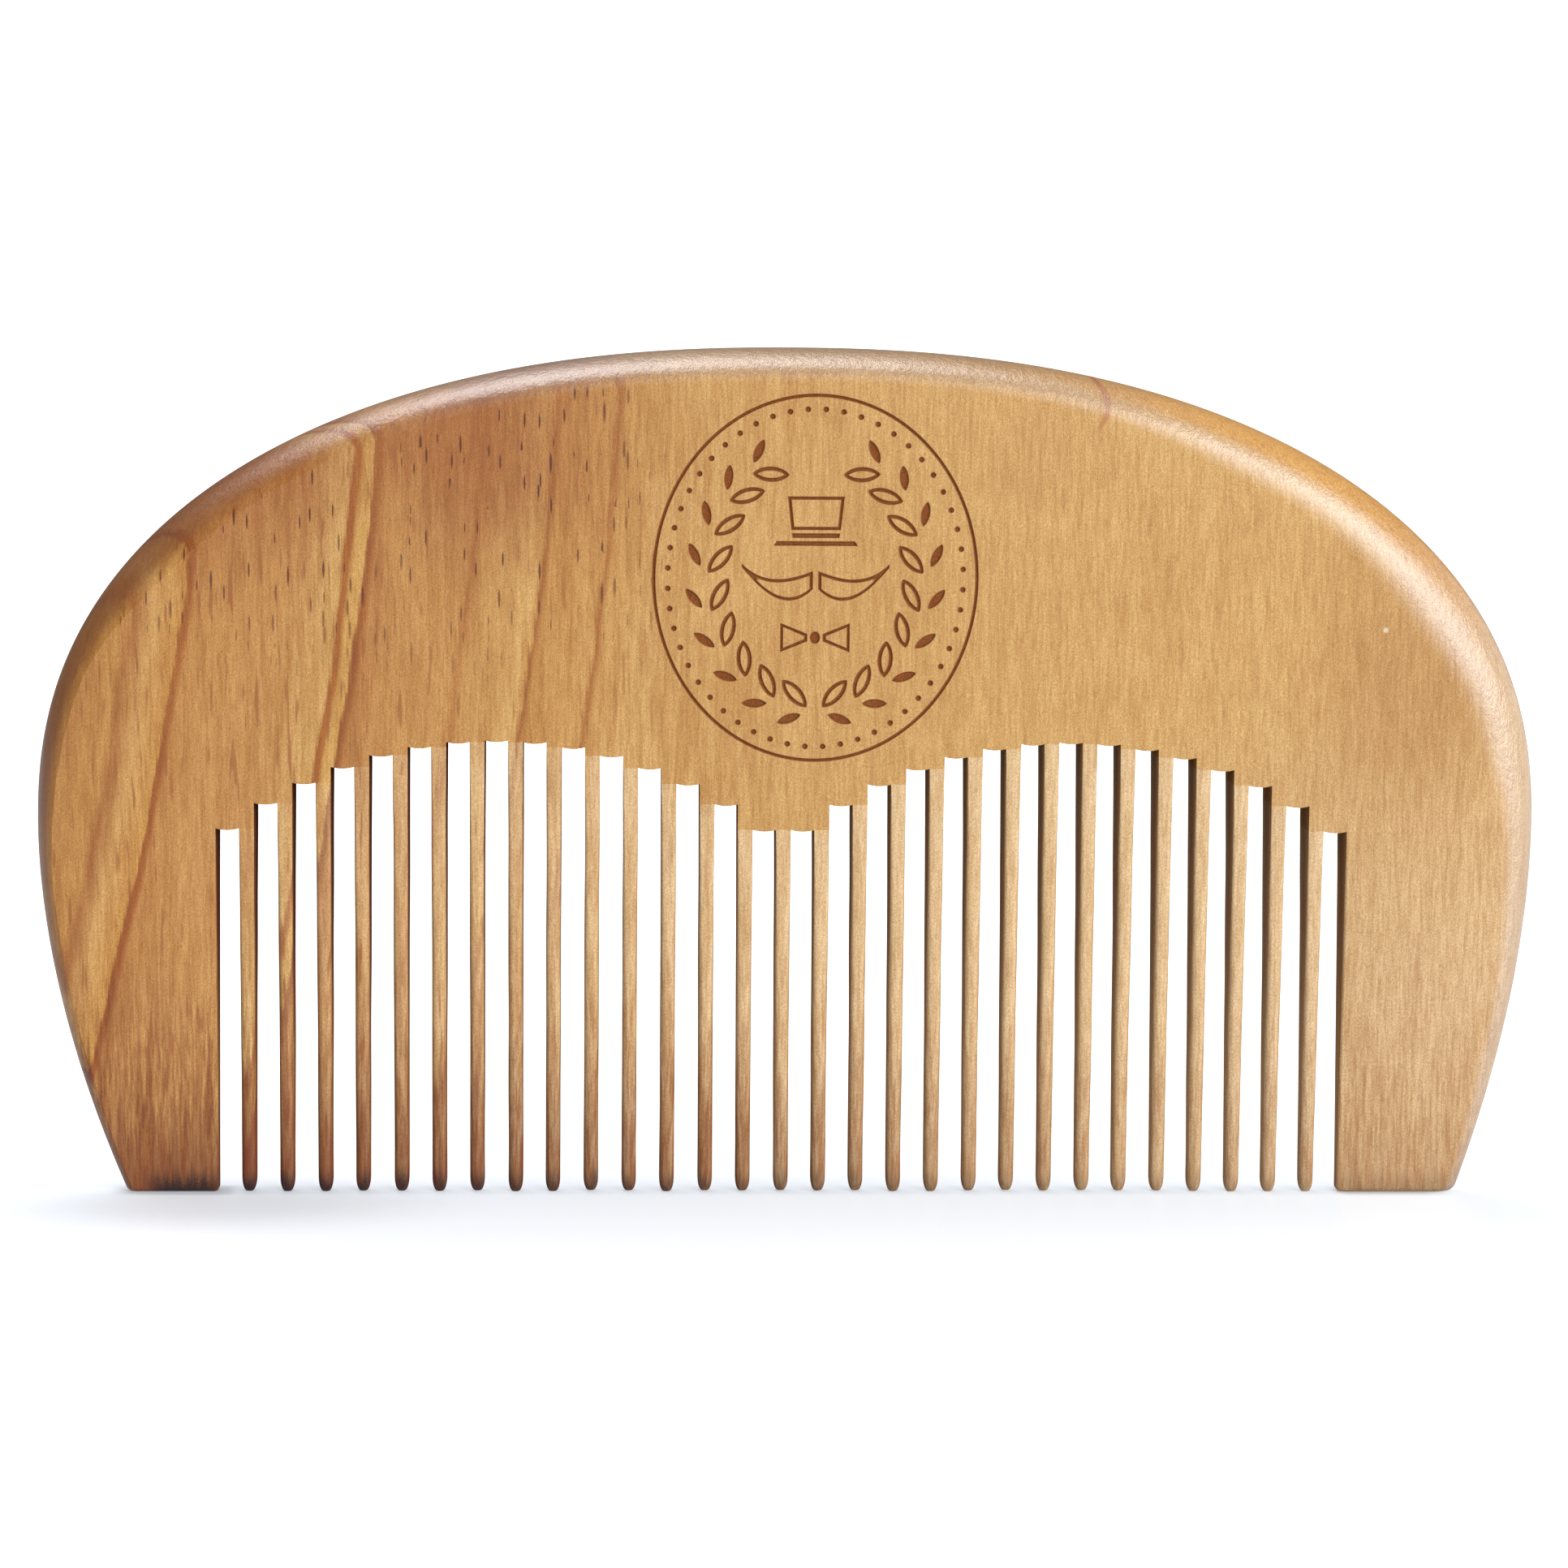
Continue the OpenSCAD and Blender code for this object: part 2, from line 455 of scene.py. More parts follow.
def emblem():
    """An oval line and a ring of dots round a wreath, with a hat, a moustache and a bow tie inside."""
    art = Engraving()
    art.line(ellipse(OVAL_X, OVAL_Z, OVAL_HALF_WIDTH, OVAL_HALF_HEIGHT, OVAL_STEPS))
    for k in range(DOTS):
        t = 2 * math.pi * (k + 0.5) / DOTS
        dot_x = OVAL_X + (OVAL_HALF_WIDTH - DOT_INSET) * math.cos(t)
        dot_z = OVAL_Z + (OVAL_HALF_HEIGHT - DOT_INSET) * math.sin(t)
        art.filled(ellipse(dot_x, dot_z, DOT_RADIUS, DOT_RADIUS, DOT_STEPS))
    wreath(art, OVAL_X, OVAL_Z, WREATH_ACROSS, WREATH_UP, WREATH_LEAVES)
    for side in (-1, 1):
        art.line(moustache_half(OVAL_X, OVAL_Z + MOUSTACHE_RISE, side))
        art.line(outline([(OVAL_X + side * across, OVAL_Z + up) for across, up in TIE_WING]))
    art.filled(ellipse(OVAL_X, OVAL_Z + TIE_RISE, TIE_KNOT_HALF_WIDTH, TIE_KNOT_HALF_HEIGHT, 16))
    art.filled(slab(*HAT_BRIM))
    art.filled(slab(*HAT_BAND))
    art.line(slab(*HAT_CROWN))
    return art


# ---------------------------------------------------------------- the pieces

def root_line(found):
    """Points along the underside of the back from left to right, with the painted shade of the slot wall
    or end after each.
    """
    line = []
    ends = [end for _, _, end in found]
    for k, (left, right, end) in enumerate(found):
        if k > 0 and ends[k - 1] < end:
            line.append((left, ends[k - 1], SHADE_RIGHTWARD))
        for s in range(SLOT_END_STEPS + 1):
            t = s / SLOT_END_STEPS
            sag = SLOT_SAG * 4 * t * (1 - t)
            line.append((left + (right - left) * t, end - sag, 1.0 if s < SLOT_END_STEPS else 0.0))
        if k + 1 < len(ends) and ends[k + 1] < end:
            line[-1] = (right, end, SHADE_LEFTWARD)
            line.append((right, ends[k + 1], 0.0))
    return line


def face_sheet(boundary, art):
    """The flat face inside a boundary as triangles, cut along the engraved loops.

    Gives (x, z, depth, burn, number of the input point it came from) for each point, and the triangles.
    """
    flat = [(x, z, 0.0, 0.0) for x, z in boundary]
    edges = [(i, (i + 1) % len(flat)) for i in range(len(flat))]
    for points in (art.loops if art else ()):
        first = len(flat)
        flat += points
        edges += [(first + i, first + (i + 1) % len(points)) for i in range(len(points))]
    coords = [Vector((p[0], p[1])) for p in flat]
    out, _, tris, origin, _, _ = delaunay_2d_cdt(coords, edges, [], KEEP_INSIDE, MERGE_WITHIN)
    return [(c.x, c.y) + flat[origin[i][0]][2:] + (origin[i][0],) for i, c in enumerate(out)], tris


def make_back(found):
    """The back: rounded edge, stepped underside, two root planes, an engraved face and a plain one."""
    rim_line = back_outline(found[0][2], found[-1][2])
    rings = [edge_ring(x, z, inward_at(rim_line, i)) for i, (x, z) in enumerate(rim_line)]
    size = len(rings[0])
    points = [p for ring in rings for p in ring]
    burn = [0.0] * len(points)
    edge = [edge_share(j) for _ in rings for j in range(size)]
    faces, cut, smooth = [], [], []
    for i in range(len(rings) - 1):
        for j in range(size - 1):
            a = i * size + j
            smooth.append(len(faces))
            faces.append((a, a + 1, a + size + 1, a + size))
            cut.append(0.0)

    line = root_line(found)
    under = len(points)
    for x, z, _ in line:
        points += [(x, -half_thickness(z), z), (x, half_thickness(z), z)]
        burn += [0.0, 0.0]
    # The underside in the slots gets painted shade on its walls and ends
    for s in range(len(line) - 1):
        a = under + 2 * s
        faces.append((a, a + 2, a + 3, a + 1))
        cut.append(line[s][2])
    last = len(line) - 1
    left_ring = list(range(size))
    right_ring = [(len(rings) - 1) * size + j for j in range(size)]
    faces.append(tuple([under, under + 1] + left_ring[::-1]))
    faces.append(tuple([under + 2 * last + 1, under + 2 * last] + right_ring))
    cut += [0.0, 0.0]

    for rear in (0, 1):
        rim = [i * size + (size - 1 if rear else 0) for i in range(len(rings))]
        roots = [under + 2 * s + rear for s in range(len(line) - 1, -1, -1)]
        known = rim + roots
        sheet, tris = face_sheet([(points[k][0], points[k][2]) for k in known], None if rear else emblem())
        index = []
        for x, z, depth, scorch, source in sheet:
            if source < len(known):
                index.append(known[source])
                continue
            index.append(len(points))
            points.append((x, depth - half_thickness(z), z))
            burn.append(scorch)
        for tri in tris:
            order = tri if rear else tri[::-1]
            faces.append(tuple(index[t] for t in order))
            cut.append(0.0)
    edge += [0.0] * (len(points) - len(edge))
    return mesh_piece("back_wood", points, faces, smooth, cut, burn, edge, CREASE_ANGLE)


def make_guard(side, found):
    """An end guard, lofted from its root plane down to the foot."""
    slot = found[0] if side < 0 else found[-1]
    inner = slot[0] if side < 0 else slot[1]
    root = slot[2]
    corner = FOOT_CORNER[side]
    heights = [root * (1 - s / GUARD_STEPS) for s in range(GUARD_STEPS)]
    heights = [z for z in heights if z > corner + FOOT_CORNER_CLEAR]
    heights += [corner * (1 - math.sin(math.radians(a))) for a in range(0, 91, FOOT_TURN_STEP)]
    rings = []
    for z in heights:
        drop = max(FOOT_RADIUS - z, 0.0)
        pinch = FOOT_RADIUS - math.sqrt(FOOT_RADIUS ** 2 - drop ** 2)
        drop = max(corner - z, 0.0)
        clip = corner - math.sqrt(max(corner ** 2 - drop ** 2, 0.0))
        wall = inner + side * pinch
        outer = edge_ring(side_x(z, side) - side * clip, z, (-side, 0.0))
        squeeze = 1 - pinch / half_thickness(z)
        arris = min(ARRIS_ROOT + ARRIS_GROWTH * (root - z), ARRIS_MOST)
        front = []
        for s in range(CORNER_STEPS + 1):
            a = math.pi / 2 * s / CORNER_STEPS
            front.append((wall + side * arris * (1 - math.cos(a)),
                          -(half_thickness(z) - arris * (1 - math.sin(a))) * squeeze, z))
        rear = [(x, -y, z) for x, y, z in reversed(front)]
        rings.append(front + [(x, y * squeeze, z) for x, y, _ in outer] + rear)
    points, faces = loft(rings[::-1])
    if side < 0:
        faces = [face[::-1] for face in faces]
    size = len(rings[0])
    strips = len(rings) - 1
    flat_strips = (CORNER_STEPS, CORNER_STEPS + 2 * EDGE_STEPS + 1)
    smooth = [i for i in range(strips * size) if i % size not in flat_strips]
    beside = [0.0] * (CORNER_STEPS + 1)
    rubbed = (beside + [edge_share(j) for j in range(2 * EDGE_STEPS + 1)] + beside) * len(rings)
    # Painted shade on the guard's wall along its slot
    shade = SHADE_RIGHTWARD if side < 0 else SHADE_LEFTWARD
    cut = [shade if i % size == size - 1 and i < strips * size else 0.0 for i in range(len(faces))]
    name = "guard_left_wood" if side < 0 else "guard_right_wood"
    return mesh_piece(name, points, faces, smooth, cut, edge=rubbed, sharp_angle=CREASE_ANGLE)


def tooth_section(x, z, half_width, half_depth, radius):
    """A rounded rectangle, as a ring of points that starts at the front."""
    radius = min(radius, half_width * ROUNDEST, half_depth * ROUNDEST)
    ring = []
    for quarter in range(4):
        cx = (half_width - radius) * (1 if quarter in (0, 1) else -1)
        cy = (half_depth - radius) * (1 if quarter in (1, 2) else -1)
        for s in range(CORNER_STEPS + 1):
            a = math.radians(-90 + 90 * quarter + 90 * s / CORNER_STEPS)
            ring.append((x + cx + radius * math.cos(a), cy + radius * math.sin(a), z))
    return ring


def make_tooth(name, dice):
    """A tooth, from its rounded tip up to its root on the back."""
    low, high = node_box(name)
    middle = (low.x + high.x) / 2
    half_width = (high.x - low.x) / 2
    root = high.z
    tip = dice.uniform(0.0, TIP_SHORTFALL)
    lean = dice.uniform(-1.0, 1.0)
    seed = dice.uniform(0, 100)
    flat = math.acos(TIP_FLAT ** (TIP_POWER / 2))
    stations = []
    for s in range(TIP_STEPS + 1):
        turn = flat * (1 - s / TIP_STEPS)
        rise = 1 - math.sin(turn) ** (2 / TIP_POWER)
        shrink = math.cos(turn) ** (2 / TIP_POWER)
        stations.append((rise, shrink))
    lowest = stations[0][0]
    levels = [(tip + TIP_LENGTH * (rise - lowest), shrink) for rise, shrink in stations]
    top = levels[-1][0]
    levels += [(top + (root - top) * s / TOOTH_STEPS, 1.0) for s in range(1, TOOTH_STEPS + 1)]
    rings = []
    for z, shrink in levels:
        down = root - z
        fade = min(down / STRAY_LENGTH, 1.0)
        wave = noise.noise(Vector((seed, 0, z * WANDER_RATE)))
        wander = fade * TOOTH_WANDER * (lean * down / root + wave)
        wave = noise.noise(Vector((seed, 9, z * SWELL_RATE)))
        swell = 1 - TOOTH_THINNING * fade * (1 + wave)
        width = half_width * swell * shrink
        depth = half_thickness(max(z, 0.2)) * (TIP_DEPTH + (1 - TIP_DEPTH) * shrink)
        depth *= 1 - TOOTH_THINNING * fade
        radius = smooth_lookup(down, TOOTH_ROUNDING) * (TIP_CORNER + (1 - TIP_CORNER) * shrink)
        rings.append(tooth_section(middle + wander, z, width, depth, radius))
    points, faces = loft(rings)
    size = len(rings[0])
    # Painted shade on the sides that face into the slots, more the more sideways they face
    cut = []
    for i in range(len(rings) - 1):
        for j in range(size):
            a = Vector(rings[i][j])
            b = Vector(rings[i][(j + 1) % size])
            along = b - a
            share = abs(along.y) / max(along.length, 1e-6)
            shade = SHADE_RIGHTWARD if along.y > 0 else SHADE_LEFTWARD
            start = SHADE_START[1 if along.y > 0 else -1]
            cut.append(shade * min(max((share - start) / (SHADE_FULL - start), 0.0), 1.0) ** 2)
    cut += [0.0, 0.0]
    smooth = range(len(faces) - 1)
    return mesh_piece(name + "_wood", points, faces, smooth, cut, sharp_angle=TOOTH_CREASE_ANGLE)


# ---------------------------------------------------------------- materials

def srgb(red, green, blue):
    """A colour given as it looks on screen, 0 to 255, as linear light."""
    def linear(c):
        c /= 255
        return c / 12.92 if c <= 0.04045 else ((c + 0.055) / 1.055) ** 2.4
    return (linear(red), linear(green), linear(blue), 1.0)


class Nodes:
    """Short calls for building one material's node tree."""

    def __init__(self, name):
        self.material = bpy.data.materials.new(name)
        self.material.use_nodes = True
        self.tree = self.material.node_tree
        self.shader = self.tree.nodes["Principled BSDF"]

    def link(self, value, socket):
        if isinstance(value, bpy.types.NodeSocket):
            self.tree.links.new(value, socket)
        else:
            socket.default_value = value

    def math(self, operation, *values):
        node = self.tree.nodes.new("ShaderNodeMath")
        node.operation = operation
        for value, socket in zip(values, node.inputs):
            self.link(value, socket)
        return node.outputs[0]

    def times(self, first, *others):
        for other in others:
            first = self.math("MULTIPLY", first, other)
        return first

    def vector(self, operation, a, b=(0.0, 0.0, 0.0)):
        node = self.tree.nodes.new("ShaderNodeVectorMath")
        node.operation = operation
        self.link(a, node.inputs[0])
        self.link(b, node.inputs[1])
        return node

    def scaled(self, vector, scale):
        return self.vector("MULTIPLY", vector, scale).outputs["Vector"]

    def away(self, vector, place, scale=(1.0, 1.0, 1.0)):
        """The distance of a vector from a place, with each axis scaled."""
        offset = self.vector("SUBTRACT", vector, place).outputs["Vector"]
        return self.vector("LENGTH", self.scaled(offset, scale)).outputs["Value"]

    def axes(self, vector):
        node = self.tree.nodes.new("ShaderNodeSeparateXYZ")
        self.link(vector, node.inputs[0])
        return node.outputs

    def bump(self, height, strength, distance, normal=None):
        node = self.tree.nodes.new("ShaderNodeBump")
        node.inputs["Strength"].default_value = strength
        node.inputs["Distance"].default_value = distance
        self.link(height, node.inputs["Height"])
        if normal is not None:
            self.link(normal, node.inputs["Normal"])
        return node.outputs[0]

    def noise(self, vector, detail=2.0, roughness=0.5):
        node = self.tree.nodes.new("ShaderNodeTexNoise")
        self.link(vector, node.inputs["Vector"])
        node.inputs["Scale"].default_value = 1.0
        node.inputs["Detail"].default_value = detail
        node.inputs["Roughness"].default_value = roughness
        return node.outputs["Fac"]

    def ease(self, value, low, high):
        """0 at low and 1 at high, eased between them; low may be the larger."""
        node = self.tree.nodes.new("ShaderNodeMapRange")
        node.interpolation_type = "SMOOTHSTEP"
        node.clamp = True
        self.link(value, node.inputs["Value"])
        node.inputs["From Min"].default_value = min(low, high)
        node.inputs["From Max"].default_value = max(low, high)
        node.inputs["To Min"].default_value = 0.0 if low < high else 1.0
        node.inputs["To Max"].default_value = 1.0 if low < high else 0.0
        return node.outputs[0]

    def mix(self, factor, a, b, blend="MIX"):
        node = self.tree.nodes.new("ShaderNodeMix")
        node.data_type = "RGBA"
        node.blend_type = blend
        self.link(factor, node.inputs["Factor"])
        self.link(a, node.inputs["A"])
        self.link(b, node.inputs["B"])
        return node.outputs["Result"]

    def ramp(self, value, stops):
        """A colour for each place from 0 to 1; stops start at 0 and end at 1."""
        node = self.tree.nodes.new("ShaderNodeValToRGB")
        self.link(value, node.inputs["Fac"])
        points = node.color_ramp.elements
        points[0].color = stops[0][1]
        points[-1].color = stops[-1][1]
        for place, colour in stops[1:-1]:
            points.new(place).color = colour
        return node.outputs["Color"]

    def attribute(self, name):
        node = self.tree.nodes.new("ShaderNodeAttribute")
        node.attribute_name = name
        return node.outputs["Fac"]


# Growth rings: how they lean through the board, sweep left below RING_CURVE_TOP, and waver
RING_TILT = 1.3
RING_CURVE = 0.0024
RING_CURVE_TOP = 51.0
RING_SWAY = 1.4
RING_RIPPLE = 0.7
RING_FRAY = 0.45

# Where each ring stands across the left of the board, in millimetres, and its colour on screen
RINGS = (
    (-52.0, (186, 132, 70)),
    (-50.2, (196, 144, 78)),
    (-49.5, (174, 114, 58)),
    (-48.1, (208, 160, 96)),
    (-47.0, (204, 152, 84)),
    (-46.2, (198, 144, 72)),
    (-46.05, (156, 84, 28)),
    (-45.7, (166, 96, 38)),
    (-45.5, (192, 136, 74)),
    (-43.0, (200, 147, 85)),
    (-38.0, (200, 148, 86)),
    (-36.5, (208, 162, 98)),
    (-35.3, (212, 167, 102)),
    (-35.1, (170, 100, 36)),
    (-34.75, (174, 106, 42)),
    (-34.55, (206, 158, 86)),
    (-33.9, (212, 164, 92)),
    (-33.7, (150, 82, 28)),
    (-33.4, (166, 100, 42)),
    (-33.15, (188, 130, 70)),
    (-31.0, (198, 145, 82)),
    (-26.7, (202, 150, 87)),
    (-26.3, (182, 122, 62)),
    (-25.8, (200, 149, 86)),
    (-22.0, (214, 169, 103)),
    (-21.5, (206, 156, 88)),
    (-21.3, (164, 98, 38)),
    (-20.9, (198, 145, 78)),
    (-17.3, (208, 158, 92)),
    (-17.0, (172, 108, 48)),
    (-16.6, (206, 156, 90)),
    (-14.0, (211, 165, 101)),
)

# Colours laid over the rings, as they look on screen
SAPWOOD = (216, 171, 106)
DARKER_UPPER_LEFT = (160, 92, 38)
CLOUD = (192, 136, 68)
PALE_END = (224, 189, 148)
PALE_TEETH = (238, 208, 168)
CROWN_PATCH = (188, 130, 72)
SHOULDER_PATCH = (192, 142, 84)
STREAK = (142, 74, 34)
FLECK = (88, 32, 12)
SOFT_FLECK = (158, 92, 46)
FOOT_STAIN = (122, 57, 24)
TIP_BURN = (40, 18, 16)
CROWN_LINE = (184, 104, 50)
NICK = (246, 228, 204)
# Painted shade, in the slots and on the worn edge at the left
PAINTED_SLOT_SHADE = (112, 62, 52)
LEFT_EDGE_SHADE = (126, 70, 38)
SCORCHED_DARK = (112, 54, 29)
SCORCHED_LIGHT = (152, 86, 50)

# Where single marks stand, in millimetres
CROWN_PATCH_AT = (17.5, 0.0, 52.5)
SHOULDER_PATCH_AT = (43.0, 0.0, 37.0)
NICK_AT = (41.4, -3.1, 40.2)
CROWN_LINE_X = 21.7
CROWN_LINE_Z = 55.7
CROWN_LINE_BEND = 0.25
FOOT_BURN_X = -42.4

# Tones that multiply the colour: plain, all of the wood, the worn edge and the right shoulder
PLAIN = (1.0, 1.0, 1.0, 1.0)
WOOD_TONE = (0.79, 0.785, 0.755, 1.0)
EDGE_TONE = (0.68, 0.66, 0.66, 1.0)
SHOULDER_TONE = (1.14, 1.02, 0.76, 1.0)

# Surface: roughness, what the grain and a cut wall add to it and the worn edge takes off, and the gloss
ROUGHNESS = 0.32
ROUGHER_GRAIN = 0.16
ROUGHER_CUT = 0.4
SMOOTHER_EDGE = 0.08
GLOSS = 0.4
COAT_ROUGHNESS = 0.4
COAT_IOR = 2.3

# Floor: its glow to the camera near the comb, lower there as a faint painted shade, and far off, to
# everything else, and its painted shadows by the left foot and along the contact line
FLOOR_GLOW = 0.56
FLOOR_GLOW_FAR = 1.05
FLOOR_BOUNCE = 0.2
FOOT_SHADE = 0.2
CONTACT_SHADE = 0.4
FLOOR_NEAR_AT = (0.0, -12.0, 0.0)
FOOT_SHADE_AT = (-41.0, -5.0, 0.0)
FLOOR_RADIUS = 4000.0
FLOOR_STEPS = 64

# Camera: its place in millimetres, its yaw, pitch and roll in degrees, and its lens
CAMERA_PLACE = (-13.05, -339.7, 65.7)
CAMERA_TURN = (2.14, 6.17, 0.42)
SENSOR_WIDTH = 36.0
LENS = 111.80124

# Soft distant lights: name, direction towards the light, strength, spread in degrees and colour
SUNS = (
    ("key", (0.63, -0.72, 0.3), 3.2, 56.0, (1.0, 0.99, 0.97)),
    ("front", (-0.05, -1.0, 0.1), 0.8, 60.0, (1.0, 0.98, 0.96)),
    ("top", (-0.2, 0.15, 0.96), 2.1, 46.0, (1.0, 0.99, 1.0)),
    ("rim", (0.87, 0.4, 0.1), 0.7, 50.0, (1.0, 1.0, 0.98)),
)
WORLD_FILL = 0.16
WORLD_SEEN = 1.05


class Wood(Nodes):
    """Oiled pale wood, made from layers of colour in millimetre coordinates that every piece shares."""

    def __init__(self, name, paleness, stain_height):
        """paleness lightens the wood to the right; stain_height is how far up the foot stain reaches."""
        super().__init__(name)
        self.paleness = paleness
        self.stain_height = stain_height
        place = self.tree.nodes.new("ShaderNodeTexCoord").outputs["Object"]
        self.at = self.scaled(place, (1 / MM, 1 / MM, 1 / MM))
        self.x, self.y, self.z = self.axes(self.at)
        self.clouds = self.noise(self.scaled(self.at, (0.09, 0.09, 0.06)), 3.0)
        self.fine = self.noise(self.scaled(self.at, (5.2, 5.2, 0.3)), 3.0, 0.6)
        self.coarse = self.noise(self.scaled(self.at, (1.6, 1.6, 0.08)), 3.0, 0.55)
        self.grain = self.noise(self.scaled(self.at, (14.0, 14.0, 9.0)), 1.0, 0.6)
        self.edge = self.attribute("edge")
        self.cut = self.attribute("cut")
        self.burn = self.attribute("burn")
        self.colour = None
        self.rings()
        self.patches()
        self.fibre()
        self.flecks()
        self.stains()
        self.marks()
        self.worked_surfaces()
        self.finish()

    def tint(self, factor, colour):
        self.colour = self.mix(factor, self.colour, srgb(*colour))

    def vary(self, share, bright, dark):
        """Multiply the colour by bright where share is 0 and by dark where it is 1."""
        self.colour = self.mix(1.0, self.colour, self.mix(share, bright, dark), "MULTIPLY")

    def rings(self):
        """Growth rings, leaning through the board and swept to the left lower down, over pale wood."""
        sway = self.noise(self.scaled(self.at, (0.05, 0.05, 0.035)), 1.0)
        ripple = self.noise(self.scaled(self.at, (0.4, 0.4, 0.12)), 2.0)
        below = self.math("MAXIMUM", self.math("SUBTRACT", RING_CURVE_TOP, self.z), 0.0)
        ring = self.math("MULTIPLY_ADD", self.y, RING_TILT, self.x)
        ring = self.math("MULTIPLY_ADD", self.math("POWER", below, 2.0), RING_CURVE, ring)
        for wave, reach in ((sway, RING_SWAY), (ripple, RING_RIPPLE), (self.fine, RING_FRAY)):
            ring = self.math("MULTIPLY_ADD", self.math("SUBTRACT", wave, 0.5), reach, ring)
        first = RINGS[0][0]
        span = RINGS[-1][0] - first
        share = self.math("MULTIPLY_ADD", ring, 1 / span, -first / span)
        self.colour = self.ramp(share, [((u - first) / span, srgb(*rgb)) for u, rgb in RINGS])
        self.tint(self.ease(self.x, 0.0, 32.0), SAPWOOD)

    def patches(self):
        """Slow changes of tone: darker high on the left, pale and pink low on the right."""
        cloudy = self.ease(self.clouds, 0.3, 0.6)
        high = self.ease(self.math("MULTIPLY_ADD", self.clouds, 12.0, self.z), 47.0, 60.0)
        upper_left_mask = self.times(high, self.ease(self.x, -6.0, -22.0), cloudy)
        self.tint(self.times(upper_left_mask, 0.85), DARKER_UPPER_LEFT)
        self.tint(self.times(self.ease(self.clouds, 0.48, 0.75), 0.3), CLOUD)
        low = self.times(self.ease(self.z, 42.0, 14.0), self.ease(self.x, 16.0, 46.0))
        self.tint(self.times(low, 0.7), PALE_END)
        self.tint(self.times(self.ease(self.x, -54.0, 2.0), self.paleness), PALE_TEETH)
        away = self.away(self.at, CROWN_PATCH_AT, (1.0, 0.0, 1.4))
        self.tint(self.times(self.ease(away, 8.0, 1.0), cloudy, 0.55), CROWN_PATCH)
        away = self.away(self.at, SHOULDER_PATCH_AT, (1.5, 0.0, 1.0))
        self.tint(self.times(self.ease(away, 16.0, 2.0), 0.6), SHOULDER_PATCH)

    def fibre(self):
        """Fine upright streaks, browner low down on the left, and the speckle of sanded wood."""
        left = self.math("MULTIPLY_ADD", self.ease(self.x, 28.0, -24.0), 0.75, 0.25)
        low_down = self.times(self.ease(self.z, 19.0, 2.0), left)
        dark = self.mix(low_down, (0.9, 0.83, 0.74, 1.0), (0.6, 0.42, 0.28, 1.0))
        self.vary(self.ease(self.fine, 0.36, 0.66), (1.05, 1.07, 1.1, 1.0), dark)
        calm = self.times(self.ease(self.x, -8.0, 12.0), 0.75)
        dark = self.mix(calm, (0.9, 0.84, 0.75, 1.0), (0.99, 0.99, 0.98, 1.0))
        dark = self.mix(low_down, dark, (0.56, 0.39, 0.26, 1.0))
        self.vary(self.ease(self.coarse, 0.4, 0.64), (1.04, 1.06, 1.08, 1.0), dark)
        streak = self.ease(self.noise(self.scaled(self.at, (2.4, 2.4, 0.15)), 2.0), 0.52, 0.66)
        self.tint(self.times(streak, low_down, 0.6), STREAK)
        self.vary(self.ease(self.grain, 0.3, 0.7), (1.17, 1.19, 1.23, 1.0), (0.82, 0.78, 0.72, 1.0))

    def flecks(self):
        """Short dark flecks in the upper left, and longer soft ones."""
        stretched = self.scaled(self.at, (1.15, 0.4, 0.5))
        cells = self.tree.nodes.new("ShaderNodeTexVoronoi")
        self.link(stretched, cells.inputs["Vector"])
        cells.inputs["Scale"].default_value = 1.0
        away = self.away(stretched, cells.outputs["Position"], (1.0, 0.0, 0.3))
        parts = self.tree.nodes.new("ShaderNodeSeparateColor")
        self.link(cells.outputs["Color"], parts.inputs[0])
        crowd = self.noise(self.scaled(self.at, (0.22, 0.22, 0.12)), 1.0)
        chosen = self.math("GREATER_THAN", self.math("ADD", parts.outputs[0], crowd), 1.12)
        size = self.math("MULTIPLY_ADD", parts.outputs[1], 0.07, 0.05)
        dark = self.ease(self.math("DIVIDE", away, size), 1.2, 0.6)
        zone = self.times(self.ease(self.z, 32.0, 46.0), self.ease(self.x, -4.0, -16.0),
                          self.ease(self.clouds, 0.38, 0.5), self.ease(self.edge, 0.6, 0.0))
        self.tint(self.times(dark, chosen, zone, 0.9), FLECK)
        soft = self.noise(self.scaled(self.at, (2.6, 2.6, 0.22)), 1.0)
        side = self.math("MULTIPLY_ADD", self.ease(self.x, 0.0, -30.0), 0.5, 0.2)
        self.tint(self.times(self.ease(soft, 0.62, 0.74), side), SOFT_FLECK)

    def stains(self):
        """Brown stain low down, stronger on the left, and nearly black at the tips and the left foot."""
        left = self.math("MULTIPLY_ADD", self.ease(self.x, 36.0, -44.0), 0.75, 0.25)
        height = self.math("MULTIPLY_ADD", self.math("SUBTRACT", self.coarse, 0.5), 18.0, self.z)
        self.tint(self.times(self.ease(height, self.stain_height, 0.0), left, 0.78), FOOT_STAIN)
        height = self.math("MULTIPLY_ADD", self.math("SUBTRACT", self.grain, 0.5), 1.8, self.z)
        height = self.math("MULTIPLY_ADD", self.math("SUBTRACT", self.coarse, 0.5), 3.0, height)
        off = self.math("ABSOLUTE", self.math("SUBTRACT", self.x, FOOT_BURN_X))
        burnt = self.math("MAXIMUM", self.ease(off, 3.4, 1.4), self.ease(self.x, -39.8, -39.0))
        self.tint(self.times(self.ease(height, 1.9, 0.2), left, burnt, 0.97), TIP_BURN)

